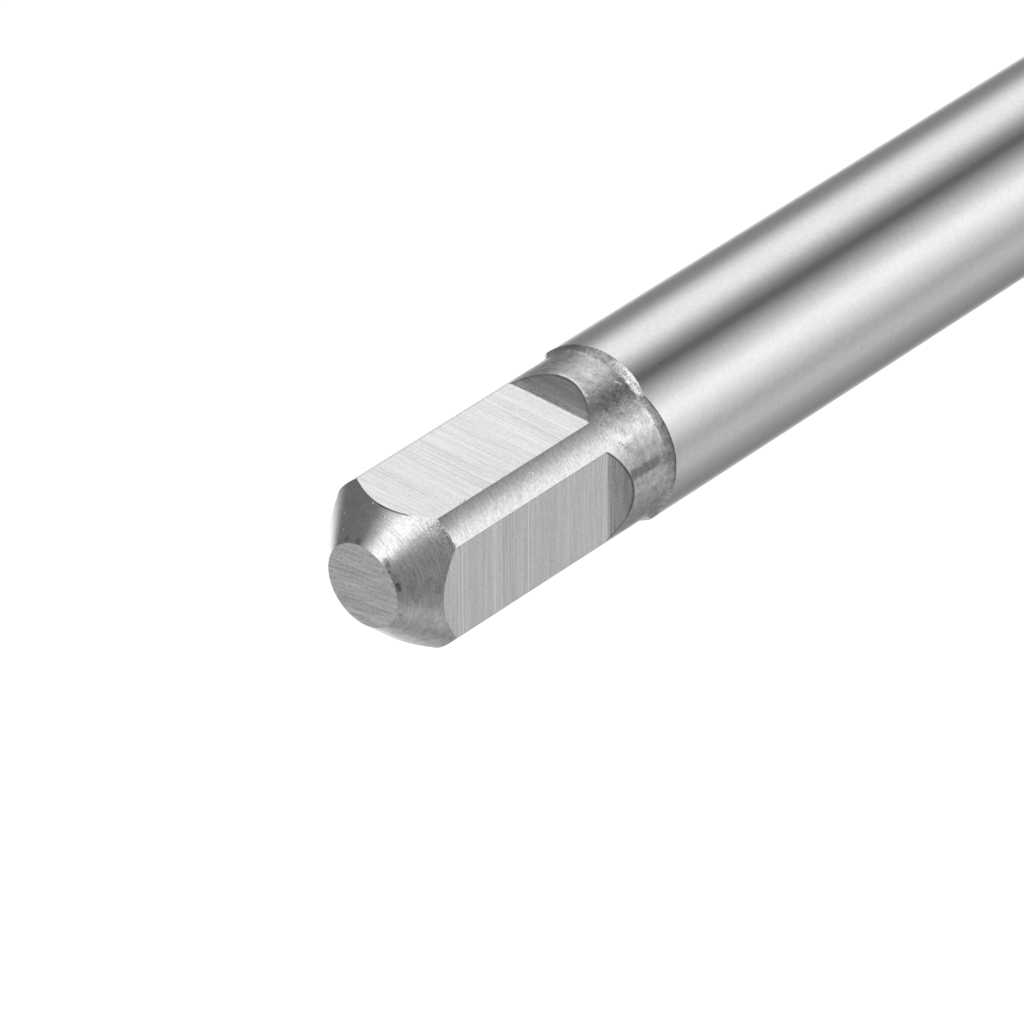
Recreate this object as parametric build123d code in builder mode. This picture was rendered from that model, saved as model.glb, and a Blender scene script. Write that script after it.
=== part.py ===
from build123d import *
from math import acos, ceil, cos, degrees, floor, pi, radians, sin, sqrt, tan
import os

# Right-hand M4 x 0.7 spiral flute machine tap, ground from one bar of tool steel.
# Lengths are in mm and angles in degrees. While it is built, the tool's axis is X and stations are
# measured from the face of the drive end. At the end it is moved so that mid-length is the origin.

# Whole tool
overall_len = 53.0
shank_dia = 4.0
neck_and_thread_len = 21.0
neck_dia = 2.8
neck_cone_len = 0.6
neck_fillet = 0.8

# Drive end: turned down a little with the slightest taper, up to a shoulder left hollow by the wheel's
# rounded corner, with four flats ground on it and coned to a small face
spigot_dia = 3.8
spigot_taper = 0.01
shoulder_len = 0.22
round_len = 1.04
square_af = 3.12
flat_len = 5.575
flat_end_fillet = 0.12
top_pair_ramp = 32.0
side_pair_ramp = 37.0
face_dia = 1.87
cone_half_angle = 43.0

# Thread
thread_dia = 4.0
pitch = 0.7
thread_len = 13.0
thread_depth = 0.5413 * pitch
root_flat = pitch / 4
flank_half_angle = 30.0
back_cone_len = 0.35
lead_threads = 2.5
lead_half_angle = 15.0

# Flutes
flute_count = 3
flute_helix_angle = 40.0
core_dia = 1.66
face_side_radius = 1.25
heel_side_radius = 1.8
wheel_radius = 16.5
lift_lead_in = 1.0
lift_clearance = 0.18
tip_overrun = 0.3

os.makedirs("parts", exist_ok=True)

shank_r = shank_dia / 2
spigot_r = spigot_dia / 2
face_r = face_dia / 2
neck_r = neck_dia / 2
thread_r = thread_dia / 2
core_r = core_dia / 2
spigot_start_r = (spigot_dia - spigot_taper) / 2
cone_len = (spigot_start_r - face_r) / tan(radians(cone_half_angle))
long_ramp = (spigot_r - square_af / 2) / tan(radians(min(top_pair_ramp, side_pair_ramp)))
spigot_len = flat_len + long_ramp + round_len
neck_start = overall_len - neck_and_thread_len
thread_start = overall_len - thread_len
lead_len = lead_threads * pitch
tip_r = thread_r - lead_len * tan(radians(lead_half_angle))
flute_lead = pi * thread_dia / tan(radians(flute_helix_angle))

# Turned blank, with a full cylinder where the thread will be
with BuildPart() as blank:
    with BuildSketch(Plane.XZ) as profile:
        with BuildLine():
            Polyline(
                (0, 0),
                (0, face_r),
                (cone_len, spigot_start_r),
                (spigot_len - shoulder_len, spigot_r),
            )
            TangentArc(
                (spigot_len - shoulder_len, spigot_r),
                (spigot_len, shank_r),
                tangent=(1, 0),
            )
            Polyline(
                (spigot_len, shank_r),
                (neck_start - neck_cone_len, shank_r),
                (neck_start, neck_r),
                (thread_start, neck_r),
                (thread_start + back_cone_len, thread_r),
                (overall_len - lead_len, thread_r),
                (overall_len, tip_r),
                (overall_len, 0),
                (0, 0),
            )
        make_face()
        neck_corner = profile.vertices().sort_by_distance((neck_start, neck_r, 0))[0]
        fillet(neck_corner, radius=neck_fillet)
    revolve(axis=Axis.X)


# What the grinding wheel takes off above one flat: level over the flat, then a ramp out of the spigot
def flat_cutter(ramp_angle):
    clear_r = shank_dia
    ramp_len = (clear_r - square_af / 2) / tan(radians(ramp_angle))
    with BuildPart() as cutter:
        with BuildSketch(Plane.XZ) as side_view:
            with BuildLine():
                Polyline(
                    (-clear_r, square_af / 2),
                    (flat_len, square_af / 2),
                    (flat_len + ramp_len, clear_r),
                    (-clear_r, clear_r),
                    (-clear_r, square_af / 2),
                )
            make_face()
            corner = side_view.vertices().sort_by_distance((flat_len, square_af / 2, 0))[0]
            fillet(corner, radius=flat_end_fillet)
        extrude(amount=shank_dia, both=True)
    return cutter.part


# Flute void, lofted through sections square to the axis that turn with the helix. Each section is two
# arcs that share the bottom point: a tighter one that undercuts the cutting face of the land behind the
# flute, and a wider one on the heel of the land ahead. Towards the shank the sections rise out of the
# neck along the curve of the grinding wheel.
lift_start = thread_start - lift_lead_in
lift_depth = neck_r - core_r + lift_clearance
lift_len = sqrt(2 * wheel_radius * lift_depth)
flute_sections = []
lift_steps = 5
for i in range(lift_steps, 0, -1):
    back = lift_len * i / lift_steps
    flute_sections.append((lift_start - back, back**2 / (2 * wheel_radius)))
full_len = overall_len + tip_overrun - lift_start
full_steps = ceil(full_len / (flute_lead / 12))
for i in range(full_steps + 1):
    flute_sections.append((lift_start + full_len * i / full_steps, 0.0))

with BuildPart() as flute:
    for station, rise in flute_sections:
        bottom = core_r + rise
        turn = 2 * pi * (station - thread_start) / flute_lead
        outward = (0, -sin(turn), cos(turn))
        with BuildSketch(Plane(origin=(station, 0, 0), x_dir=outward, z_dir=(1, 0, 0))):
            with BuildLine():
                CenterArc((bottom + heel_side_radius, 0), heel_side_radius, 90, 90)
                CenterArc((bottom + face_side_radius, 0), face_side_radius, 180, 90)
                Polyline(
                    (bottom + face_side_radius, -face_side_radius),
                    (bottom + heel_side_radius, -face_side_radius),
                    (bottom + heel_side_radius, heel_side_radius),
                )
            make_face()
    loft()


# Half of the flute's width at the thread's outside radius, as an angle about the axis
def half_width(arc_r):
    centre_r = core_r + arc_r
    return degrees(acos((thread_r**2 + centre_r**2 - arc_r**2) / (2 * thread_r * centre_r)))


# One stretch of thread groove: a right-hand helix just long enough to cross a land and to end in the
# open flutes on both sides of it. It is centred on the +Z side of the axis.
flute_step = 360 / flute_count
flute_width = half_width(face_side_radius) + half_width(heel_side_radius)
groove_span = flute_step - flute_width / 2
over_crest = 0.02
with BuildPart() as groove:
    with BuildLine() as groove_path:
        Helix(
            pitch,
            pitch * groove_span / 360,
            thread_r,
            center=(-pitch * groove_span / 720, 0, 0),
            direction=(1, 0, 0),
        )
    start_plane = Plane(
        origin=groove_path.line @ 0,
        x_dir=(1, 0, 0),
        z_dir=groove_path.line % 0,
    )
    with BuildSketch(start_plane):
        with BuildLine():
            root_half = root_flat / 2
            top_half = root_half + (thread_depth + over_crest) * tan(radians(flank_half_angle))
            Polyline(
                (-root_half, -thread_depth),
                (root_half, -thread_depth),
                (top_half, over_crest),
                (-top_half, over_crest),
                (-root_half, -thread_depth),
            )
        make_face()
    sweep(path=groove_path.line, is_frenet=True)
centred_groove = groove.part.rotate(Axis.X, -groove_span / 2)

# Where the thread helix meets the middle of each land: both helices turn the same way, so the places
# along a land are a little more than a pitch apart
land_middle = (half_width(heel_side_radius) + flute_step - half_width(face_side_radius)) / 2
groove_spacing = 1 / (1 / pitch - 1 / flute_lead)
reach = 0.6 * pitch
grooves = []
for land in range(flute_count):
    land_turns = (land_middle + flute_step * land) / 360
    first = floor(-reach / groove_spacing) - 1
    last = ceil((thread_len + reach) / groove_spacing) + 1
    for n in range(first, last):
        along = (land_turns + n) * groove_spacing
        if -reach < along < thread_len + reach:
            around = 360 * (land_turns + along / flute_lead)
            place = Location((thread_start + along, 0, 0))
            grooves.append(place * centred_groove.rotate(Axis.X, around))

with BuildPart() as tap:
    add(blank.part)
    for side in range(4):
        ramp = top_pair_ramp if side % 2 == 0 else side_pair_ramp
        add(flat_cutter(ramp).rotate(Axis.X, 90 * side), mode=Mode.SUBTRACT)
    for k in range(flute_count):
        add(flute.part.rotate(Axis.X, flute_step * k), mode=Mode.SUBTRACT, clean=False)
    add(grooves, mode=Mode.SUBTRACT, clean=False)

finished = tap.part.moved(Location((-overall_len / 2, 0, 0)))
export_step(finished, "parts/spiral_flute_tap.step")
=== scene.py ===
import bpy
import bmesh
from math import atan2, ceil, cos, degrees, exp, pi, radians, sin, sqrt, tan
from mathutils import Matrix, Vector, noise


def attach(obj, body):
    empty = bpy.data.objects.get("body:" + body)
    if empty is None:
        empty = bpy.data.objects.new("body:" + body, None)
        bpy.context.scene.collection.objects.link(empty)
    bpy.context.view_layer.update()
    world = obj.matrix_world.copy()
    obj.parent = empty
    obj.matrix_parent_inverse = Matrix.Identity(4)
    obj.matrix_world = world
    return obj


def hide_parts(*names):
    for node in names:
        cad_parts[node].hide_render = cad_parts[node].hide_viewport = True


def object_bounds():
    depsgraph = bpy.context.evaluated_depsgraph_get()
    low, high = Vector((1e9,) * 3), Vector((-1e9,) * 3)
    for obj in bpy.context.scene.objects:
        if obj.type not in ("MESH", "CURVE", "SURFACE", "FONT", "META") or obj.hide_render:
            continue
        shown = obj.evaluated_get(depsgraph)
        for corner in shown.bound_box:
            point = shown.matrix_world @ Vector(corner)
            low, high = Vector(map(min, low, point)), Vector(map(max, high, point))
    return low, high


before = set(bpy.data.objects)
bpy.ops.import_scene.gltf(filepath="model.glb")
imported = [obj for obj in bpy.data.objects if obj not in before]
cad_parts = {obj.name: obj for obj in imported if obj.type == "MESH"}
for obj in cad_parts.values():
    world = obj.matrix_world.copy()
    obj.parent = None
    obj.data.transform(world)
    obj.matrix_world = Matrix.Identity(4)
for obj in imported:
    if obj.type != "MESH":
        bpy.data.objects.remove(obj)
cad_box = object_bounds()
scene = bpy.context.scene
MM = 0.001

# The tool, in mm. Stations run from the face of the drive end along +X, and the frame's origin is
# at mid-length.
OVERALL = 53.0
SHANK_R = 2.0
NECK_R = 1.4
NECK_START = 32.0
NECK_CONE = 0.6
NECK_FILLET = 0.8
SPIGOT_R = 1.9
SPIGOT_START_R = 1.895
SHOULDER = 0.22
FACE_R = 0.935
CONE_HALF = 43.0
SQUARE = 3.12
FLAT_LEN = 5.575
FLAT_FILLET = 0.12
TOP_RAMP = 32.0
SIDE_RAMP = 37.0
ROUND_LEN = 1.04
THREAD_START = 40.0
THREAD_R = 2.0
PITCH = 0.7
THREAD_DEPTH = 0.5413 * PITCH
FLANK_HALF = 30.0
BACK_CONE = 0.35
LEAD_LEN = 2.5 * PITCH
LEAD_HALF = 15.0
FLUTES = 3
FLUTE_HELIX = 40.0
FLUTE_LEAD = 2 * pi * THREAD_R / tan(radians(FLUTE_HELIX))
CORE_R = 0.83
FACE_SIDE_R = 1.25
HEEL_SIDE_R = 1.8
WHEEL_R = 16.5
LIFT_LEAD_IN = 1.0
LIFT_CLEAR = 0.18

CONE_LEN = (SPIGOT_START_R - FACE_R) / tan(radians(CONE_HALF))
SPIGOT_LEN = FLAT_LEN + (SPIGOT_R - SQUARE / 2) / tan(radians(TOP_RAMP)) + ROUND_LEN

# The mesh is made in two ends that meet in the neck, with this many points round the axis.
SEAM = 33.5
AROUND = 512

# The camera, fitted to the photograph's edges. The centre of the drive end's face lies this far to
# the right of its axis, below it and ahead of it, in mm.
FACE_RIGHT = -2.959
FACE_DOWN = 1.4615
FACE_AHEAD = 164.5
FOCAL_PIXELS = 8294.35
IMAGE_PIXELS = 1024
SENSOR = 36.0


def added(name, data):
    """A new object with this data, in the scene."""
    obj = bpy.data.objects.new(name, data)
    scene.collection.objects.link(obj)
    return obj


def photo_camera():
    right = Vector((0.6663, -0.7457, -0.0047)).normalized()
    ahead = Vector((0.6132, 0.5516, -0.5655))
    ahead = (ahead - right * ahead.dot(right)).normalized()
    down = ahead.cross(right)
    face_centre = Vector((-OVERALL / 2, 0, 0))
    eye = face_centre - (right * FACE_RIGHT + down * FACE_DOWN + ahead * FACE_AHEAD)
    lens = bpy.data.cameras.new("photo_camera")
    lens.sensor_width = SENSOR
    lens.lens = SENSOR * FOCAL_PIXELS / IMAGE_PIXELS
    lens.clip_start = 0.01
    lens.clip_end = 20.0
    cam = added("photo_camera", lens)
    turn = Matrix((right, -down, -ahead)).transposed().to_4x4()
    cam.matrix_world = Matrix.Translation(eye * MM) @ turn
    return cam


scene.camera = photo_camera()
scene.view_settings.view_transform = "Standard"


def mesh_object(name, verts, faces):
    """A closed mesh from points in mm, already moved to the frame, with its normals outward."""
    mesh = bpy.data.meshes.new(name)
    mesh.from_pydata([Vector(v) * MM for v in verts], [], faces)
    bm = bmesh.new()
    bm.from_mesh(mesh)
    bmesh.ops.recalc_face_normals(bm, faces=bm.faces)
    bm.to_mesh(mesh)
    bm.free()
    return added(name, mesh)


def around_axis(station, radius, angle):
    """A point at an angle from +Z towards -Y, which is how a right-hand helix turns along +X."""
    return (station - OVERALL / 2, -radius * sin(angle), radius * cos(angle))


def turned(station, out, aside, angle):
    """A point that lies out from the axis and aside, in a section turned by the angle."""
    y = -out * sin(angle) - aside * cos(angle)
    z = out * cos(angle) - aside * sin(angle)
    return (station - OVERALL / 2, y, z)


def revolved(name, profile):
    """Turns (station, radius) points, or functions of the angle that give them, about the axis and
    closes both ends."""
    verts = []
    faces = []
    for ring in profile:
        for j in range(AROUND):
            angle = 2 * pi * j / AROUND
            station, radius = ring(angle) if callable(ring) else ring
            verts.append(around_axis(station, radius, angle))
    for i in range(len(profile) - 1):
        here, there = i * AROUND, (i + 1) * AROUND
        for j in range(AROUND):
            k = (j + 1) % AROUND
            faces.append((here + j, here + k, there + k, there + j))
    faces.append(tuple(range(AROUND)))
    faces.append(tuple(range(len(verts) - AROUND, len(verts))))
    return mesh_object(name, verts, faces)


def boolean(obj, other, operation):
    """Replaces obj's mesh with its boolean with other, and removes other."""
    mod = obj.modifiers.new("cut", "BOOLEAN")
    mod.solver = "MANIFOLD"
    mod.operation = operation
    mod.object = other
    bpy.context.view_layer.update()
    graph = bpy.context.evaluated_depsgraph_get()
    made = bpy.data.meshes.new_from_object(obj.evaluated_get(graph))
    obj.modifiers.clear()
    obj.data = made
    bpy.data.objects.remove(other)


def arc(centre, radius, start, end, count):
    """Points (a, b) on an arc, angles in degrees."""
    points = []
    for i in range(count + 1):
        t = radians(start + (end - start) * i / count)
        points.append((centre[0] + radius * cos(t), centre[1] + radius * sin(t)))
    return points


def prism_over_flat(side, ramp):
    """What the wheel takes off above one flat, with the small curve where the flat turns into its
    ramp. It reaches past the bar ahead, above and on both sides."""
    ahead, above, aside = -1.0, 3.2, 2.6
    half = SQUARE / 2
    slope = radians(ramp)
    back = FLAT_FILLET * tan(slope / 2)
    outline = [(ahead, half)]
    curve_steps = 8
    for i in range(curve_steps + 1):
        t = slope * i / curve_steps
        outline.append((FLAT_LEN - back + FLAT_FILLET * sin(t), half + FLAT_FILLET * (1 - cos(t))))
    outline += [(FLAT_LEN + (above - half) / tan(slope), above), (ahead, above)]
    verts = []
    for across in (-aside, aside):
        for station, height in outline:
            verts.append(turned(station, height, across, pi / 2 * side))
    n = len(outline)
    faces = [tuple(range(n)), tuple(range(n, 2 * n))]
    for i in range(n):
        k = (i + 1) % n
        faces.append((i, k, n + k, n + i))
    return mesh_object("over_flat", verts, faces)


def wavy(angle, seed, size):
    """Smooth noise round the tool, about -1 to 1, the same at 0 and 360 degrees."""
    place = Vector((cos(angle) / size, sin(angle) / size, seed))
    return noise.fractal(place, 0.6, 2.0, 4)


# How the wheel left the shoulder: (angle, shift of its edge along the tool, width of its hollow)
SHOULDER_EDGE = (
    (-84, 0.07, 0.20),
    (-64, 0.22, 0.13),
    (-46, -0.045, 0.11),
    (-30, 0.02, 0.18),
    (-12, 0.04, 0.21),
    (0, 0.06, 0.23),
    (12, 0.05, 0.22),
    (22, 0.03, 0.21),
    (30, -0.02, 0.19),
    (38, -0.09, 0.14),
    (50, -0.03, 0.16),
    (62, 0.015, 0.19),
    (80, 0.05, 0.20),
    (92, 0.03, 0.21),
    (112, -0.01, 0.22),
    (133, -0.06, 0.12),
    (150, 0.12, 0.12),
    (172, 0.02, 0.18),
    (205, 0.02, 0.22),
    (250, -0.03, 0.18),
)


def shoulder_at(angle):
    """Shift and width of the shoulder at an angle, smoothly through the values above."""
    n = len(SHOULDER_EDGE)
    first = SHOULDER_EDGE[0][0]
    at = (degrees(angle) - first) % 360 + first
    k = max(i for i in range(n) if SHOULDER_EDGE[i][0] <= at)

    def knot(i):
        turn, shift, width = SHOULDER_EDGE[i % n]
        return turn + 360 * (i // n), shift, width

    before, here, there, after = knot(k - 1), knot(k), knot(k + 1), knot(k + 2)
    step = there[0] - here[0]
    t = (at - here[0]) / step
    values = []
    for c in (1, 2):
        rise = (there[c] - before[c]) / (there[0] - before[0]) * step
        fall = (after[c] - here[c]) / (after[0] - here[0]) * step
        flat = here[c] * (2 * t**3 - 3 * t**2 + 1) + there[c] * (3 * t**2 - 2 * t**3)
        values.append(flat + rise * (t**3 - 2 * t**2 + t) + fall * (t**3 - t**2))
    return values


def hump(angle, width):
    """1 round the angle 0, and almost nothing past the width."""
    return exp(-((angle / width) ** 4))


def hollow_ring(share):
    """A ring of the shoulder's hollow, at a share of its width. The hollow is nearly straight in
    section where it shows as a bright flake."""

    def ring(t):
        angle = degrees(t)
        shift, width = shoulder_at(t)
        edge = SPIGOT_LEN + shift + 0.009 * wavy(t, 14.0, 0.08)
        start = edge - width + 0.015 * wavy(t, 9.0, 0.1)
        flake_highlight = hump(angle - 25, 10)
        above = hump((angle + 8) % 360, 26)
        below = hump(angle - 70, 30)
        power = 1.75 - 0.5 * max(flake_highlight, above) - 0.33 * below
        rough = (0.003 + 0.008 * flake_highlight) * wavy(t, 31 + 3.5 * share, 0.035) * sin(pi * share)
        radius = SPIGOT_R + (SHANK_R - SPIGOT_R) * share**power + rough
        return (start + (edge - start) * share, radius)

    return ring


def drive_end():
    """Face, cone, square, round spigot, shoulder, shank and the start of the neck. The corner where
    the cone meets the spigot is rolled over by hand, and the shoulder wanders as an edge ground by
    hand does."""
    cone_slope = tan(radians(CONE_HALF))
    # less steep than the cone, so that the rolled corner stands out by a few microns
    rolled_slope = pi / 4

    def cone_edge(t):
        back = min(0.04, max(0.002, 0.012 + 0.020 * wavy(t, 3.1, 0.06)))
        return (CONE_LEN - back, SPIGOT_START_R - back * rolled_slope)

    def corner_edge(t):
        past = min(0.05, max(0.003, 0.014 + 0.020 * wavy(t, 5.7, 0.06)))
        return (CONE_LEN + past, SPIGOT_START_R)

    # plain rings on both sides of the rolled edge, so that it doesn't bend the light elsewhere
    beside = 0.07
    rings = [
        (0.0, FACE_R),
        (CONE_LEN - beside, SPIGOT_START_R - beside * cone_slope),
        cone_edge,
        corner_edge,
        (CONE_LEN + beside, SPIGOT_START_R),
    ]
    # the spigot's own rings keep clear of the corner and of the hollow
    foot = SPIGOT_LEN - SHOULDER
    clear, both_clear = 0.08, 0.24
    spigot_steps = 12
    for i in range(1, spigot_steps + 1):
        station = CONE_LEN + clear + (foot - both_clear - CONE_LEN) * i / spigot_steps
        rings.append((station, SPIGOT_START_R + (SPIGOT_R - SPIGOT_START_R) * station / foot))
    hollow_steps = 10
    for i in range(hollow_steps + 1):
        rings.append(hollow_ring(i / hollow_steps))
    past_shoulder = 0.3
    rings.append((SPIGOT_LEN + past_shoulder, SHANK_R))
    shank_end = NECK_START - NECK_CONE
    shank_steps = 12
    for i in range(1, shank_steps + 1):
        rings.append((SPIGOT_LEN + (shank_end - SPIGOT_LEN) * i / shank_steps, SHANK_R))
    # neck cone and the fillet at its foot
    neck_angle = atan2(SHANK_R - NECK_R, NECK_CONE)
    fillet_end = NECK_START + NECK_FILLET * tan(neck_angle / 2)
    fillet_steps = 8
    for i in range(fillet_steps + 1):
        t = neck_angle * (1 - i / fillet_steps)
        rings.append((fillet_end - NECK_FILLET * sin(t), NECK_R + NECK_FILLET * (1 - cos(t))))
    rings.append((SEAM, NECK_R))
    obj = revolved("drive_end", rings)
    for side in range(4):
        ramp = TOP_RAMP if side % 2 == 0 else SIDE_RAMP
        boolean(obj, prism_over_flat(side, ramp), "DIFFERENCE")
    return obj


def threaded_rod():
    """A rod with the thread's groove all along it, its crests just above the finished ones. It is
    longer than the cutting end on both sides, and each of its ends comes to a point."""
    per_turn = 96
    over = 0.02
    longer = 1.5
    point = 0.5
    crest = THREAD_R + over
    root = THREAD_R - THREAD_DEPTH
    root_half = PITCH / 8
    top_half = root_half + (THREAD_DEPTH + over) * tan(radians(FLANK_HALF))
    row = [(-PITCH / 2, crest), (-top_half, crest), (-root_half, root)]
    row += [(root_half, root), (top_half, crest)]
    wide = len(row)
    first_turn = ceil((SEAM - longer - THREAD_START) / PITCH) - 1
    last_turn = ceil((OVERALL + longer - THREAD_START) / PITCH)
    steps = (last_turn - first_turn) * per_turn
    verts = []
    faces = []

    def on_helix(i, offset, radius):
        centre = THREAD_START + (first_turn + i / per_turn) * PITCH
        return around_axis(centre + offset, radius, 2 * pi * i / per_turn)

    for i in range(steps + 1):
        for offset, radius in row:
            verts.append(on_helix(i, offset, radius))
    # the far edge of the last turn, which no later turn shares
    far = {}
    for i in range(steps - per_turn + 1, steps + 1):
        far[i] = len(verts)
        verts.append(on_helix(i, PITCH / 2, crest))

    def at(i, p):
        if p < wide:
            return i * wide + p
        return (i + per_turn) * wide if i + per_turn <= steps else far[i]

    def close_end(loop, station):
        centre = len(verts)
        verts.append(around_axis(station, 0, 0))
        for a, b in zip(loop, loop[1:] + loop[:1]):
            faces.append((a, b, centre))

    for i in range(steps):
        for p in range(wide):
            faces.append((at(i, p), at(i + 1, p), at(i + 1, p + 1), at(i, p + 1)))
    start = [at(i, 0) for i in range(per_turn + 1)]
    start += [at(0, p) for p in range(wide - 1, 0, -1)]
    close_end(start, THREAD_START + first_turn * PITCH - point)
    end = [at(i, wide) for i in range(steps - per_turn, steps + 1)]
    end += [at(steps, p) for p in range(wide - 1, 0, -1)]
    close_end(end, THREAD_START + last_turn * PITCH + point)
    return mesh_object("rod", verts, faces)


def flute(k):
    """One flute's void: an undercut cutting face, a wider heel, and the wheel's run-out in the
    neck. It ends a little past the tip."""
    lift_start = THREAD_START - LIFT_LEAD_IN
    lift_len = sqrt(2 * WHEEL_R * (NECK_R - CORE_R + LIFT_CLEAR))
    past_tip = 0.3
    first = lift_start - lift_len
    last = OVERALL + past_tip
    count = 110
    heel_steps, face_steps = 22, 20
    verts = []
    for i in range(count + 1):
        station = first + (last - first) * i / count
        back = max(0.0, lift_start - station)
        bottom = CORE_R + back**2 / (2 * WHEEL_R)
        turn = 2 * pi * (station - THREAD_START) / FLUTE_LEAD + 2 * pi * k / FLUTES
        ring = arc((bottom + HEEL_SIDE_R, 0), HEEL_SIDE_R, 90, 180, heel_steps)[:-1]
        ring += arc((bottom + FACE_SIDE_R, 0), FACE_SIDE_R, 180, 270, face_steps)
        ring += [(bottom + HEEL_SIDE_R, -FACE_SIDE_R)]
        for out, aside in ring:
            verts.append(turned(station, out, aside, turn))
    wide = len(verts) // (count + 1)
    faces = [tuple(range(wide)), tuple(range(count * wide, (count + 1) * wide))]
    for i in range(count):
        here, there = i * wide, (i + 1) * wide
        for p in range(wide):
            q = (p + 1) % wide
            faces.append((here + p, here + q, there + q, there + p))
    return mesh_object("flute", verts, faces)


def cutting_end():
    """Neck, thread with its lead, and the three flutes."""
    tip_r = THREAD_R - LEAD_LEN * tan(radians(LEAD_HALF))
    in_neck = THREAD_START - 3.0
    profile = [
        (SEAM, NECK_R),
        (in_neck, NECK_R),
        (THREAD_START, NECK_R),
        (THREAD_START + BACK_CONE, THREAD_R),
        (OVERALL - LEAD_LEN, THREAD_R),
        (OVERALL, tip_r),
    ]
    obj = revolved("cutting_end", profile)
    boolean(obj, threaded_rod(), "INTERSECT")
    for k in range(FLUTES):
        boolean(obj, flute(k), "DIFFERENCE")
    return obj


def joined(name, first, second):
    """One mesh from the two ends, without the faces where they meet. Both tolerances are in
    metres."""
    at_seam = 1e-7
    weld = 5e-7
    bm = bmesh.new()
    bm.from_mesh(first.data)
    bm.from_mesh(second.data)
    seam_x = (SEAM - OVERALL / 2) * MM
    hidden = [f for f in bm.faces if all(abs(v.co.x - seam_x) < at_seam for v in f.verts)]
    bmesh.ops.delete(bm, geom=hidden, context="FACES_ONLY")
    bmesh.ops.remove_doubles(bm, verts=bm.verts, dist=weld)
    # rounding leaves no point outside the solid's box
    for vert in bm.verts:
        vert.co.x = min(max(vert.co.x, cad_box[0][0]), cad_box[1][0])
    mesh = bpy.data.meshes.new(name)
    bm.to_mesh(mesh)
    bm.free()
    obj = added(name, mesh)
    bpy.data.objects.remove(first)
    bpy.data.objects.remove(second)
    return obj


tap = joined("tap_body", drive_end(), cutting_end())

# The plain metal's colour, and the brightest that a mark may make it
STEEL = 0.74
BRIGHTEST = 0.97


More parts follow.
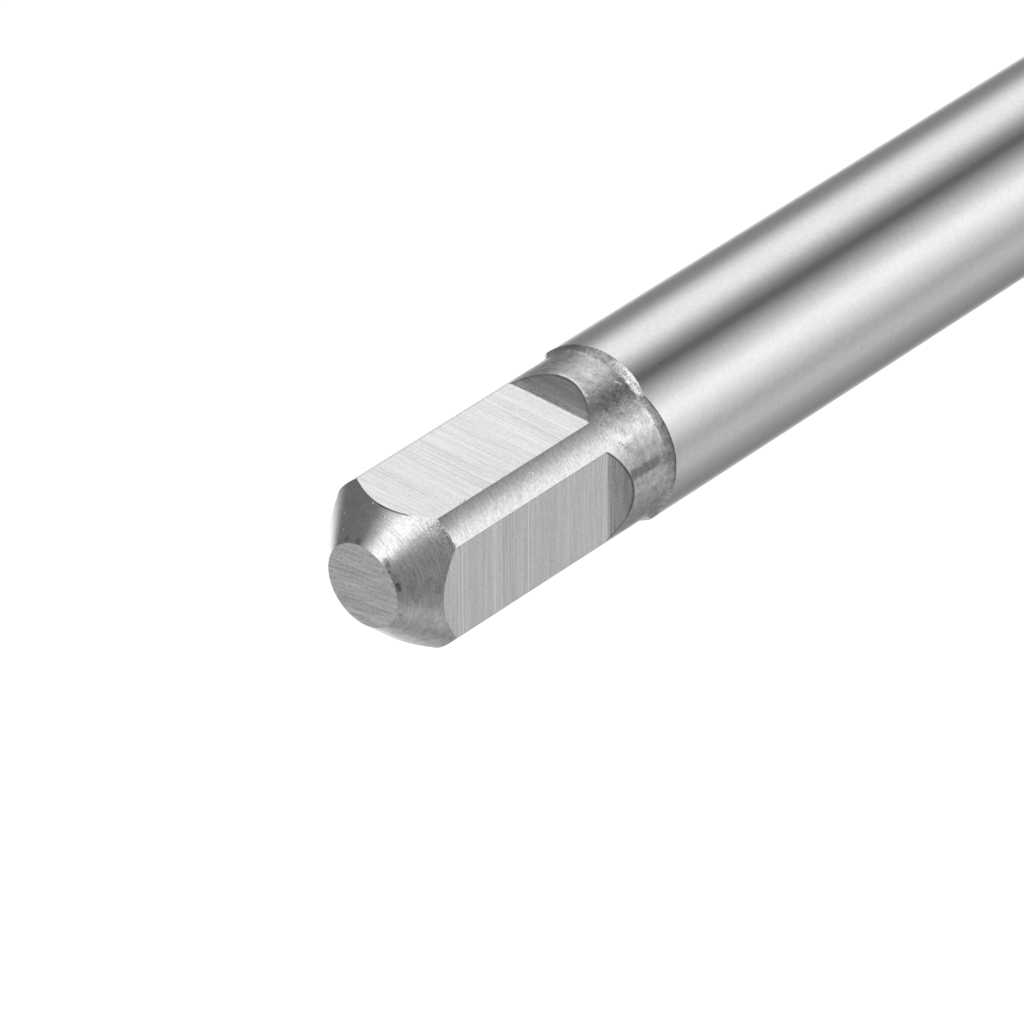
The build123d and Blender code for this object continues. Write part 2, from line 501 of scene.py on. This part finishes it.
class Steel:
    """Bright tool steel. Marks scale its tone up and down about the plain metal, and all of them
    are placed in the tool's own coordinates, in mm and degrees."""

    def __init__(self, name, rough):
        self.mat = bpy.data.materials.new(name)
        self.mat.use_nodes = True
        self.tree = self.mat.node_tree
        self.shader = self.tree.nodes["Principled BSDF"]
        self.shader.inputs["Metallic"].default_value = 1.0
        self.shader.inputs["Roughness"].default_value = rough
        place = self.node("ShaderNodeTexCoord").outputs["Object"]
        to_end = (OVERALL / 2 * MM, 0, 0)
        shift = self.node("ShaderNodeVectorMath", place, to_end, operation="ADD").outputs[0]
        scaled = self.node("ShaderNodeVectorMath", shift, operation="SCALE")
        scaled.inputs["Scale"].default_value = 1 / MM
        self.at = scaled.outputs[0]
        split = self.node("ShaderNodeSeparateXYZ", self.at)
        self.x, self.y, self.z = split.outputs
        ring = self.node("ShaderNodeCombineXYZ", None, self.y, self.z).outputs[0]
        self.radius = self.node("ShaderNodeVectorMath", ring, operation="LENGTH").outputs["Value"]
        around = self.math("ARCTAN2", self.math("MULTIPLY", self.y, -1.0), self.z)
        self.angle = self.math("MULTIPLY", around, 180 / pi)
        self.tone = 1.0
        self.relief = 0.0

    def node(self, kind, *inputs, **settings):
        """A node whose inputs are set or linked in turn, and left alone where None is given."""
        made = self.tree.nodes.new(kind)
        for key, value in settings.items():
            setattr(made, key, value)
        for socket, value in zip(made.inputs, inputs):
            if isinstance(value, bpy.types.NodeSocket):
                self.tree.links.new(value, socket)
            elif value is not None:
                socket.default_value = value
        return made

    def math(self, operation, *values):
        return self.node("ShaderNodeMath", *values, operation=operation).outputs[0]

    def both(self, mask, other):
        """Where both masks are."""
        return self.math("MULTIPLY", mask, other)

    def ramp(self, value, start, end, low=0.0, high=1.0):
        """Smooth step from low at start to high at end."""
        made = self.node("ShaderNodeMapRange", interpolation_type="SMOOTHSTEP")
        self.tree.links.new(value, made.inputs["Value"])
        limits = {"From Min": start, "From Max": end, "To Min": low, "To Max": high}
        for name, number in limits.items():
            made.inputs[name].default_value = number
        return made.outputs["Result"]

    def band(self, value, low, high, soft):
        """1 between low and high, with soft edges."""
        rise = self.ramp(value, low - soft, low + soft)
        fall = self.ramp(value, high - soft, high + soft, 1.0, 0.0)
        return self.both(rise, fall)

    def noise(self, cell, tilt=0.0, detail=2.0, shift=0.0, place=None):
        """Noise about 0.5 whose cells have this size in mm along X, Y and Z, tilted about X. The
        shift only makes it another noise."""
        made = self.node("ShaderNodeMapping", place or self.at, vector_type="TEXTURE")
        made.inputs["Location"].default_value = (shift, shift, shift)
        made.inputs["Rotation"].default_value = (radians(tilt), 0, 0)
        made.inputs["Scale"].default_value = cell
        grain = self.node("ShaderNodeTexNoise")
        self.tree.links.new(made.outputs[0], grain.inputs["Vector"])
        grain.inputs["Scale"].default_value = 1.0
        grain.inputs["Detail"].default_value = detail
        grain.inputs["Roughness"].default_value = 0.55
        return grain.outputs[0]

    def wander(self, value, cell, shift, reach):
        """A coordinate made ragged by a noise of this reach."""
        return self.math("MULTIPLY_ADD", self.noise(cell, shift=shift), reach, value)

    def vary(self, value, gain, relief=0.0, within=None):
        """Adds a noise to the tone by its gain, and to the relief in microns if asked, all over or
        only within a mask."""
        off = self.math("SUBTRACT", value, 0.5)
        if within is not None:
            off = self.both(off, within)
        self.tone = self.math("ADD", self.math("MULTIPLY", off, gain), self.tone)
        if relief:
            self.relief = self.math("ADD", self.math("MULTIPLY", off, relief), self.relief)

    def calm(self, share):
        """Keeps only this share of how far the tone lies from the plain metal's."""
        off = self.math("SUBTRACT", self.tone, 1.0)
        self.tone = self.math("MULTIPLY_ADD", off, share, 1.0)

    def mark(self, mask, level):
        """Where mask is 1, the tone becomes level times what it was."""
        share = self.math("MULTIPLY_ADD", mask, level - 1.0, 1.0)
        self.tone = self.math("MULTIPLY", self.tone, share)

    def spot(self, point, radius, level, ragged=0.5, cell=0.03, relief=0.0):
        """A small mark round a point, with a ragged edge, raised by its relief in microns."""
        far = self.node("ShaderNodeVectorMath", self.at, point, operation="DISTANCE")
        edge = self.wander(far.outputs["Value"], (cell, cell, cell), radius, ragged * radius * 2)
        reach = radius * (1 + ragged)
        mask = self.ramp(edge, reach * 0.6, reach * 1.15, 1.0, 0.0)
        self.mark(mask, level)
        if relief:
            self.relief = self.math("MULTIPLY_ADD", mask, relief, self.relief)

    def spots(self, points, radius, level, ragged=0.5, relief=0.0):
        """The same fine spot at several points."""
        for point in points:
            self.spot(point, radius, level, ragged, 0.02, relief)

    def done(self):
        colour = self.math("MINIMUM", self.math("MULTIPLY", self.tone, STEEL), BRIGHTEST)
        self.tree.links.new(colour, self.shader.inputs["Base Color"])
        bump = self.node("ShaderNodeBump")
        bump.inputs["Strength"].default_value = 1.0
        bump.inputs["Distance"].default_value = 1e-6
        self.tree.links.new(self.relief, bump.inputs["Height"])
        self.tree.links.new(bump.outputs[0], self.shader.inputs["Normal"])
        return self.mat


def end_face_steel():
    """Ground across at a slight tilt, with three small stains."""
    m = Steel("steel_end_face", 0.3)
    m.vary(m.noise((1, 0.7, 0.045), -8), 1.0, relief=2.5)
    m.vary(m.noise((1, 1.5, 0.1), -7, shift=3.0), 0.7)
    m.vary(m.noise((1, 0.08, 0.04), -8, shift=5.0), 0.8)
    m.spot((0.0, -0.576, 0.60), 0.03, 0.5, ragged=0.8)
    m.spot((0.0, -0.80, 0.36), 0.04, 0.75)
    m.spot((0.0, 0.13, -0.22), 0.03, 1.12)
    return m.done()


def cone_steel():
    """Fine turned grain, calmer on the far side and torn by one corner of the square."""
    m = Steel("steel_cone", 0.25)
    m.vary(m.noise((0.05, 0.05, 0.05)), 0.7, relief=0.8)
    m.vary(m.noise((0.028, 0.3, 0.3), shift=2.0), 0.75, relief=1.0)
    m.vary(m.noise((0.25, 0.25, 0.25), shift=4.0), 0.45)
    m.calm(m.ramp(m.angle, -12.0, 30.0, 0.5, 1.0))
    # torn grain by the corner of the square
    corner = m.both(m.ramp(m.x, 0.66, 0.95), m.band(m.angle, 22.0, 66.0, 6.0))
    glint = m.ramp(m.noise((0.028, 0.028, 0.028), shift=12.0), 0.60, 0.68)
    m.mark(m.both(glint, corner), 1.5)
    pitted = m.ramp(m.noise((0.04, 0.04, 0.04), shift=14.0), 0.57, 0.66)
    m.mark(m.both(pitted, corner), 0.62)
    m.vary(m.noise((0.03, 0.03, 0.03), shift=16.0), 0.3, relief=5.0, within=corner)
    m.mark(m.both(corner, m.band(m.angle, 33.0, 60.0, 6.0)), 0.92)
    outline = m.ramp(m.wander(m.x, (0.05, 0.05, 0.05), 18.0, 0.05), CONE_LEN - 0.03, CONE_LEN)
    m.mark(m.both(outline, m.band(m.angle, 37.0, 54.0, 3.0)), 0.7)
    glints = ((1.0, -1.215, 1.41), (1.022, -1.25, 1.43), (1.04, -1.369, 1.325))
    m.spots(glints, 0.028, 2.2, relief=8.0)
    # smudges by the end face
    for point, radius, level in (
        ((0.07, -0.58, 0.81), 0.09, 0.52),
        ((0.05, -0.64, 0.74), 0.06, 0.6),
        ((0.02, -0.70, 0.64), 0.06, 0.6),
        ((0.03, -0.80, 0.53), 0.10, 0.78),
        ((0.045, -0.90, 0.40), 0.07, 0.36),
        ((0.055, -0.95, 0.31), 0.055, 0.42),
        ((0.07, 0.47, 0.88), 0.08, 0.72),
        ((0.06, 0.15, 0.98), 0.09, 0.66),
        ((0.06, -0.94, -0.30), 0.045, 0.6),
    ):
        m.spot(point, radius, level)
    specks = (
        (0.512, 0.936, 1.058),
        (0.241, 0.722, 0.908),
        (0.651, 0.307, 1.511),
        (0.541, -0.113, 1.435),
        (0.80, 0.20, 1.667),
        (0.72, -0.72, 1.43),
        (0.99, -1.20, 1.42),
        (1.0, -1.34, 1.30),
    )
    m.spots(specks, 0.02, 2.0, ragged=0.3, relief=7.0)
    # the small burr's shadow along the flat above
    m.mark(m.both(m.ramp(m.z, 1.525, 1.545), m.band(m.angle, -6.0, 20.0, 3.0)), 0.3)
    return m.done()


def flat_steel(pair):
    """Ground straight across, in fine lines and a few deeper scratches."""
    top = pair == "top"
    m = Steel(f"steel_{pair}_flats", 0.27)
    m.vary(m.noise((0.055, 2.2, 2.2)), 0.44 if top else 0.36, relief=1.5)
    m.vary(m.noise((0.022, 0.45, 0.45), shift=2.0), 0.25, relief=0.5)
    m.vary(m.noise((0.05, 0.06, 0.06), shift=4.0), 0.32)
    m.vary(m.noise((0.35, 3.0, 3.0), shift=6.0, detail=1.0), 0.16)
    # single deeper scratches, light and dark, right across
    scratch = m.noise((0.032, 6.0, 6.0), shift=8.0, detail=1.0)
    m.mark(m.ramp(scratch, 0.60 if top else 0.62, 0.76), 1.12 if top else 1.26)
    m.mark(m.ramp(scratch, 0.40, 0.26), 0.82 if top else 0.88)
    # a ragged edge along the corner of the square
    across = m.math("MULTIPLY", m.y, -1.0) if top else m.z
    m.mark(m.ramp(m.wander(across, (0.05, 0.03, 0.03), 10.0, 0.05), 1.075, 1.10), 0.72)
    if top:
        m.spots(((1.735, 0.94, 1.56), (1.67, 0.90, 1.56), (4.95, 0.45, 1.56)), 0.022, 0.72, 0.4)
        m.spots(((1.75, -1.04, 1.56), (1.9, -1.03, 1.56), (1.84, -1.07, 1.56)), 0.028, 0.62, 0.6)
        return m.done()
    m.mark(m.band(m.x, FLAT_LEN - 0.16, FLAT_LEN - 0.06, 0.03), 1.08)
    lines = ((1.13, 0.9), (1.228, 1.3), (2.187, 1.25), (2.717, 0.88), (3.192, 1.3), (3.85, 0.88))
    for station, level in lines:
        m.mark(m.band(m.x, station - 0.012, station + 0.012, 0.01), level)
    m.spots(((2.73, -1.56, 0.50), (3.89, -1.56, -0.72)), 0.022, 0.45, 0.4)
    return m.done()


def ramp_steel():
    """Ground across, with dark rims. The top pair starts with a mottled band, the side pair with a
    light one."""
    m = Steel("steel_ramps", 0.3)
    m.vary(m.noise((0.024, 1.2, 1.2)), 1.15, relief=1.5)
    m.vary(m.noise((0.05, 0.06, 0.06), shift=3.0), 0.5)
    side = m.ramp(m.math("SUBTRACT", m.math("ABSOLUTE", m.y), m.math("ABSOLUTE", m.z)), -0.1, 0.1)
    rim = m.ramp(m.wander(m.radius, (0.08, 0.08, 0.08), 7.0, 0.04), 1.875, 1.91)
    m.mark(rim, 0.66)
    m.mark(m.both(m.both(rim, side), m.ramp(m.angle, 98.0, 112.0, 1.0, 0.0)), 0.6)
    near = m.ramp(m.x, FLAT_LEN - 0.02, FLAT_LEN + 0.16, 1.0, 0.0)
    m.mark(m.both(near, side), 1.2)
    m.mark(m.ramp(m.x, FLAT_LEN + 0.08, FLAT_LEN + 0.4), 0.84)
    top = m.math("SUBTRACT", 1.0, side)
    m.mark(m.both(top, m.ramp(m.x, FLAT_LEN + 0.10, FLAT_LEN + 0.17)), 0.86)
    start = m.both(top, m.ramp(m.x, FLAT_LEN + 0.08, FLAT_LEN + 0.17, 1.0, 0.0))
    m.mark(start, 1.08)
    dots = m.ramp(m.noise((0.055, 0.055, 0.055), shift=9.0), 0.53, 0.60)
    m.mark(m.both(start, dots), 0.74)
    return m.done()


def painted_flake_highlight_mask(m, hollow):
    """The painted highlight in the hollow that looks like a bright flake, a slim oval that lies
    along the shoulder's edge, and the same oval's measure, which is about 1 at its rim and grows
    outward."""
    half_width, station, lean = 0.11, 7.262, 0.006
    half_turn, middle = 11.5, 25.0
    across = m.math("MULTIPLY_ADD", m.angle, lean, m.x)
    across = m.math("MULTIPLY_ADD", across, 1 / half_width, -station / half_width)
    length = m.math("MULTIPLY_ADD", m.angle, 1 / half_turn, -middle / half_turn)
    oval = m.math("ADD", m.math("MULTIPLY", across, across), m.math("MULTIPLY", length, length))
    oval = m.wander(oval, (0.05, 0.05, 0.05), 9.0, 0.5)
    return m.both(m.ramp(oval, 1.05, 1.35, 1.0, 0.0), hollow), oval


def spigot_steel():
    """Spigot and shoulder: duller past the square, blotched, and torn along the shoulder."""
    m = Steel("steel_spigot", 0.3)
    past = m.ramp(m.x, 5.4, 6.2)
    hollow = m.ramp(m.radius, 1.902, 1.94)
    m.vary(m.noise((0.045, 0.06, 0.06)), 0.75, relief=0.8)
    m.vary(m.noise((0.045, 0.3, 0.3), shift=2.0), 0.45, relief=1.0)
    m.vary(m.noise((0.16, 0.16, 0.16), shift=5.0, detail=4.0), 1.1, within=past)
    # the round corners of the square: painted shade above and by the cone, painted light on the far
    # corner
    before = m.ramp(m.x, 5.5, 5.9, 1.0, 0.0)
    m.mark(m.both(before, m.band(m.angle, 20.0, 43.5, 3.0)), 0.83)
    m.mark(m.both(before, m.band(m.angle, -60.0, -25.0, 3.0)), 1.31)
    m.mark(m.both(m.ramp(m.x, 1.1, 1.6, 1.0, 0.0), m.band(m.angle, 30.0, 44.0, 5.0)), 0.8)
    m.vary(m.noise((0.03, 0.12, 0.12), shift=17.0), 0.5, within=m.band(m.angle, 41.0, 52.0, 3.0))
    # streaks that cross the shoulder at a slant above, and run along it below
    low = m.band(m.angle, 40.0, 100.0, 4.0)
    lean = m.math("MULTIPLY_ADD", m.angle, -0.012, m.x)
    slanted = m.node("ShaderNodeCombineXYZ", lean, m.math("MULTIPLY", m.angle, 0.0333)).outputs[0]
    above = m.both(hollow, m.math("MULTIPLY_ADD", low, -0.75, 1.0))
    m.vary(m.noise((0.25, 0.06, 1.0), place=slanted, detail=3.0), 0.9, relief=5.0, within=above)
    along = m.noise((0.075, 0.6, 0.6), shift=19.0)
    below = m.both(low, hollow)
    m.vary(along, 1.2, relief=4.0, within=below)
    m.mark(m.both(m.ramp(along, 0.53, 0.58), below), 0.66)
    m.mark(m.both(m.ramp(along, 0.47, 0.42), below), 1.2)
    blot = m.ramp(m.noise((0.07, 0.09, 0.09), shift=23.0), 0.54, 0.62)
    m.mark(m.both(blot, below), 0.72)
    # the spigot past the square is darker all round, with bands of painted highlight and painted
    # shade by angle: (from angle, to angle, softness, level)
    m.mark(past, 0.78)
    for start, end, soft, level in (
        (-9.0, 19.0, 4.0, 0.93),
        (-70.0, -35.0, 2.0, 1.25),
        (45.0, 57.0, 3.0, 1.2),
        (58.0, 72.0, 3.0, 0.88),
    ):
        m.mark(m.both(past, m.band(m.angle, start, end, soft)), level)
    m.mark(m.both(m.ramp(m.radius, 1.915, 1.955), m.band(m.angle, -17.0, 15.0, 4.0)), 1.35)
    # the painted highlight of the bright flake with its tail, the painted shade round it and the
    # fine lines in it
    flake_highlight, oval = painted_flake_highlight_mask(m, hollow)
    m.mark(flake_highlight, 1.65)
    m.mark(m.both(m.ramp(m.radius, 1.955, 1.975), m.band(m.angle, 11.0, 20.0, 2.0)), 1.45)
    shade = m.both(m.band(oval, 1.4, 2.0, 0.1), m.band(m.angle, 23.0, 46.0, 3.0))
    m.mark(m.both(shade, m.ramp(m.x, 6.8, 6.88)), 0.7)
    m.vary(m.noise((0.035, 0.04, 0.04), shift=11.0), 1.1, relief=14.0, within=flake_highlight)
    fine = m.noise((0.05, 0.35, 0.35), shift=21.0)
    m.mark(m.both(m.ramp(fine, 0.51, 0.57), flake_highlight), 0.66)
    # lower down the hollow is lighter, up to a dark line along its edge
    m.mark(m.both(m.band(m.radius, 1.925, 1.968, 0.012), m.band(m.angle, 42.0, 78.0, 4.0)), 1.1)
    m.mark(m.both(m.ramp(m.radius, 1.978, 1.988), m.band(m.angle, 42.0, 94.0, 6.0)), 0.7)
    # the step on its far side is pale
    m.mark(m.both(hollow, m.band(m.angle, -85.0, -49.0, 2.0)), 1.35)
    # an oil smudge
    ragged = m.wander(m.x, (0.06, 0.06, 0.06), 8.0, 0.2)
    swerve = m.wander(m.angle, (0.09, 0.05, 0.05), 22.0, 5.0)
    m.mark(m.both(m.band(ragged, 6.04, 6.95, 0.07), m.band(swerve, 77.0, 84.0, 1.6)), 0.5)
    m.mark(m.both(m.band(ragged, 7.0, 7.22, 0.05), m.band(swerve, 78.0, 86.0, 2.0)), 0.7)
    # blotches past the square's corner
    blotched = m.both(past, m.band(m.angle, 16.0, 44.0, 8.0))
    m.vary(m.noise((0.07, 0.05, 0.05), shift=15.0, detail=3.0), 1.3, within=blotched)
    pits = (
        (5.95, -1.556, 1.090),
        (6.04, -1.637, 0.964),
        (6.0, -1.59, 1.04),
        (6.401, -1.238, 1.441),
        (5.773, -1.213, 1.462),
        (6.98, -1.598, 1.038),
        (7.09, -1.526, 1.214),
        (7.02, -1.42, 1.30),
    )
    m.spots(pits, 0.026, 0.5)
    # a painted highlight along the upper ramp's rim
    slope = tan(radians(TOP_RAMP))
    over_ramp = m.math("MULTIPLY_ADD", m.x, -slope, m.z)
    rim = m.band(over_ramp, SQUARE / 2 - FLAT_LEN * slope - 0.035, 9.0, 0.008)
    m.mark(m.both(rim, m.band(m.angle, -6.0, 22.0, 4.0)), 1.35)
    # chips that catch the light
    chips = (
        (6.82, -0.69, 1.77),
        (6.845, -0.73, 1.754),
        (6.87, -0.78, 1.732),
        (6.0, -0.56, 1.815),
        (6.03, -0.61, 1.80),
        (5.98, -1.563, 1.081),
        (3.592, -1.236, 1.443),
        (3.66, -1.27, 1.413),
        (2.4, -1.28, 1.404),
    )
    m.spots(chips, 0.024, 1.9, ragged=0.6, relief=7.0)
    return m.done()


def shank_steel():
    """Smooth and faintly clouded, with one speck."""
    m = Steel("steel_shank", 0.25)
    m.vary(m.noise((0.11, 0.11, 0.11)), 0.13)
    m.vary(m.noise((0.04, 0.04, 0.04), shift=1.0), 0.09)
    m.vary(m.noise((0.06, 0.5, 0.5), shift=2.0), 0.08, relief=0.25)
    m.vary(m.noise((1.2, 0.3, 0.3), shift=4.0, detail=3.0), 0.07)
    m.spot((7.93, -0.945, 1.763), 0.034, 0.62, ragged=0.3)
    m.spot((7.94, -0.975, 1.746), 0.016, 1.8, ragged=0.3, cell=0.02)
    return m.done()


def neck_steel():
    """Turned, with lines round the axis."""
    m = Steel("steel_neck", 0.32)
    m.vary(m.noise((0.04, 1.5, 1.5)), 0.5, relief=2.5)
    m.vary(m.noise((0.05, 0.06, 0.06), shift=3.0), 0.2)
    return m.done()


def thread_steel():
    """Ground in fine lines round the axis."""
    m = Steel("steel_thread", 0.27)
    m.vary(m.noise((0.03, 1.0, 1.0)), 0.35, relief=0.8)
    m.vary(m.noise((0.05, 0.05, 0.05), shift=3.0), 0.2)
    return m.done()


def flute_steel():
    """Wheel marks that run along the flutes' helix."""
    m = Steel("steel_flutes", 0.25)
    untwisted = m.node("ShaderNodeVectorRotate", m.at, rotation_type="X_AXIS")
    m.tree.links.new(m.math("MULTIPLY", m.x, -2 * pi / FLUTE_LEAD), untwisted.inputs["Angle"])
    m.vary(m.noise((3.0, 0.045, 0.045), place=untwisted.outputs[0]), 0.45, relief=1.2)
    m.vary(m.noise((0.05, 0.05, 0.05), shift=3.0), 0.15)
    return m.done()


MATERIALS = {
    "end_face": end_face_steel(),
    "cone": cone_steel(),
    "top_flats": flat_steel("top"),
    "side_flats": flat_steel("side"),
    "ramps": ramp_steel(),
    "spigot": spigot_steel(),
    "shank": shank_steel(),
    "neck": neck_steel(),
    "thread": thread_steel(),
    "flutes": flute_steel(),
}
ZONES = list(MATERIALS)
for steel in MATERIALS.values():
    tap.data.materials.append(steel)


def zone_of(centre, normal):
    """Which ground surface a face of the mesh belongs to, from its centre and its normal."""
    near = 0.01
    station = centre.x / MM + OVERALL / 2
    y, z = centre.y / MM, centre.z / MM
    radius = sqrt(y**2 + z**2)
    facing_end = 0.99
    if min(station, OVERALL - station) < near and abs(normal.x) > facing_end:
        return "end_face"
    square_on, flat_end, flat_height = 0.9995, FLAT_LEN + 0.1, SQUARE / 2 + near
    for name, out, height in (("top_flats", normal.z, z), ("side_flats", normal.y, y)):
        if abs(out) > square_on and station < flat_end and abs(height) < flat_height:
            return name
    # the cone leans far towards the drive end, and a ramp a little
    cone_lean, ramp_lean = -0.5, -0.05
    if station < CONE_LEN and normal.x < cone_lean:
        return "cone"
    if station < SPIGOT_LEN - SHOULDER and normal.x < ramp_lean:
        return "ramps"
    below_shank, past_edge = 0.0005, 0.2
    if radius < SHANK_R - below_shank and station < SPIGOT_LEN + past_edge:
        return "spigot"
    if station < NECK_START - NECK_CONE:
        return "shank"
    # a flute's walls face round the axis, and its bottom lies below the neck's surface
    swirl = abs(normal.y * z - normal.z * y) / max(radius, 0.1)
    wall_swirl, below_neck, run_out = 0.35, 0.03, 8.0
    if THREAD_START - run_out < station < OVERALL - near:
        if swirl > wall_swirl or radius < NECK_R - below_neck:
            return "flutes"
    return "neck" if station < THREAD_START else "thread"


for face in tap.data.polygons:
    face.material_index = ZONES.index(zone_of(face.center, face.normal))

# smooth all over, apart from edges sharper than this
SHARP = radians(14)
tap.data.shade_smooth()
bm = bmesh.new()
bm.from_mesh(tap.data)
for edge in bm.edges:
    edge.smooth = len(edge.link_faces) == 2 and edge.calc_face_angle(0.0) < SHARP
bm.to_mesh(tap.data)
bm.free()

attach(tap, "root")
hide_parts("spiral_flute_tap")

# Softboxes and flags, which show only in reflections. Each is a strip round the tool's axis: from
# an angle about +X, counted from +Y, to another, and its light at both, high in a softbox and low
# in a flag. Each group has its stretch along X and its distance from the axis, in metres.
CARDS = (
    # ahead of the tool's middle, seen in its flats and all along its round surfaces
    (0.03, 1.2, 0.3, (
        ("flag_left", -12, 18, 0.23, 0.27),
        ("box_a_edge", 18, 42, 0.26, 1.05),
        ("box_a", 42, 68, 1.14, 1.14),
        ("box_a_fall", 68, 88, 1.05, 0.3),
        ("gap_ab", 88, 98, 0.25, 0.25),
        ("flag_ab", 98, 105, 0.0, 0.0),
        ("box_b_edge", 105, 144, 0.06, 1.08),
        ("box_b", 144, 162, 1.24, 1.24),
        ("box_b_fall", 162, 192, 1.14, 0.56),
    )),
    (0.02, 0.5, 0.11, (
        ("card_right", 192, 208, 0.48, 0.48),
        ("card_side", 208, 232, 0.61, 0.61),
        ("card_below", 232, 264, 0.47, 0.27),
        ("flag_below", 264, 285, 0.25, 0.25),
        ("card_left_edge", 285, 297, 0.25, 0.75),
        ("card_left", 297, 320, 0.78, 1.26),
        ("card_far_left", 320, 336, 1.26, 1.1),
        ("card_end_left", 336, 348, 0.68, 0.18),
    )),
    # behind it, seen in the end face, the cone and the ramps
    (-1.2, 0.03, 0.3, (("rear_flag_left", -16, 42, 0.155, 0.19),)),
    (-1.0, -0.2, 0.3, (
        ("rear_box_edge", 42, 72, 0.26, 1.0),
        ("rear_box", 72, 106, 1.36, 1.36),
        ("rear_box_fall", 106, 126, 1.2, 0.26),
    )),
    (-0.2, -0.06, 0.3, (("rear_flag_top", 42, 78, 0.19, 0.19),)),
    (-0.06, 0.03, 0.3, (("rear_strip_top", 42, 78, 0.5, 0.5),)),
    (-0.2, 0.03, 0.3, (("rear_strip_mid", 78, 126, 1.15, 1.15),)),
    (-1.2, -0.26, 0.3, (("rear_flag_right", 126, 182, 0.25, 0.19),)),
    (-0.26, 0.03, 0.3, (("rear_strip_low", 126, 182, 0.67, 0.46),)),
    (-0.5, -0.045, 0.11, (("rear_right", 182, 226, 0.17, 0.28),)),
    (-0.045, 0.02, 0.11, (("rear_strip_right", 182, 226, 0.45, 0.45),)),
    (-0.5, 0.02, 0.11, (
        ("rear_below", 226, 246, 0.32, 0.47),
        ("rear_dip_below", 246, 270, 0.45, 0.27),
        ("rear_rise_below", 270, 300, 0.27, 0.7),
    )),
    (-0.5, -0.03, 0.11, (
        ("rear_left", 300, 330, 0.43, 0.43),
        ("rear_far_left", 330, 344, 0.34, 0.17),
    )),
    (-0.03, 0.02, 0.11, (
        ("rear_rim_low", 300, 328, 0.8, 1.45),
        ("rear_rim", 328, 351, 1.42, 0.08),
    )),
)


def glowing(name, strength):
    """A new material, its tree, its glow of this strength, and the socket for its surface."""
    mat = bpy.data.materials.new(name)
    mat.use_nodes = True
    tree = mat.node_tree
    tree.nodes.clear()
    out = tree.nodes.new("ShaderNodeOutputMaterial")
    glow = tree.nodes.new("ShaderNodeEmission")
    glow.inputs["Strength"].default_value = strength
    return mat, tree, glow, out.inputs["Surface"]


def card(name, low, high, start, end, radius, at_low, at_high):
    """One strip from the angle low to high, whose light changes evenly from at_low to at_high."""
    turn_of_step = 4
    steps = max(2, ceil((high - low) / turn_of_step))
    verts = []
    levels = []
    for i in range(steps + 1):
        t = radians(low + (high - low) * i / steps)
        for x in (start, end):
            verts.append((x, radius * cos(t), radius * sin(t)))
            levels.append(at_low + (at_high - at_low) * i / steps)
    faces = [(2 * i, 2 * i + 1, 2 * i + 3, 2 * i + 2) for i in range(steps)]
    mesh = bpy.data.meshes.new(name)
    mesh.from_pydata(verts, [], faces)
    obj = added(name, mesh)
    mat, tree, glow, surface = glowing(name, at_low)
    if at_high != at_low:
        shade = mesh.attributes.new("level", "FLOAT", "POINT")
        shade.data.foreach_set("value", levels)
        read = tree.nodes.new("ShaderNodeAttribute")
        read.attribute_name = "level"
        tree.links.new(read.outputs["Fac"], glow.inputs["Strength"])
    tree.links.new(glow.outputs["Emission"], surface)
    mesh.materials.append(mat)
    obj.visible_camera = False
    obj.visible_diffuse = False
    obj.visible_transmission = False
    obj.visible_volume_scatter = False
    obj.visible_shadow = False


for start, end, radius, strips in CARDS:
    for name, low, high, at_low, at_high in strips:
        card(name, low, high, start, end, radius, at_low, at_high)


def white_world():
    world = bpy.data.worlds.new("studio")
    world.use_nodes = True
    background = world.node_tree.nodes["Background"]
    background.inputs["Color"].default_value = (1, 1, 1, 1)
    background.inputs["Strength"].default_value = 1.0
    return world


def pale_floor(level, reach, grey, strength):
    """A floor at this height, in metres. It glows, so that it is nearly white, and takes shadow."""
    mesh = bpy.data.meshes.new("floor")
    sides = ((-1, -1), (1, -1), (1, 1), (-1, 1))
    mesh.from_pydata([(reach * a, reach * b, level) for a, b in sides], [], [(0, 1, 2, 3)])
    floor = added("floor", mesh)
    mat, tree, glow, surface = glowing("floor", strength)
    matt = tree.nodes.new("ShaderNodeBsdfDiffuse")
    matt.inputs["Color"].default_value = (grey, grey, grey, 1)
    total = tree.nodes.new("ShaderNodeAddShader")
    tree.links.new(matt.outputs[0], total.inputs[0])
    tree.links.new(glow.outputs[0], total.inputs[1])
    tree.links.new(total.outputs[0], surface)
    mesh.materials.append(mat)


def key_lamp(place, size, power):
    """A soft square lamp that looks at the origin and isn't seen in reflections."""
    data = bpy.data.lights.new("key", "AREA")
    data.size = size
    data.energy = power
    lamp = added("key", data)
    lamp.location = place
    lamp.rotation_euler = (-Vector(place)).to_track_quat("-Z", "Y").to_euler()
    lamp.visible_glossy = False


scene.world = white_world()
pale_floor(level=-0.125, reach=4.0, grey=0.3, strength=0.75)
key_lamp(place=(-0.1, -0.2, 0.8), size=0.5, power=2.0)
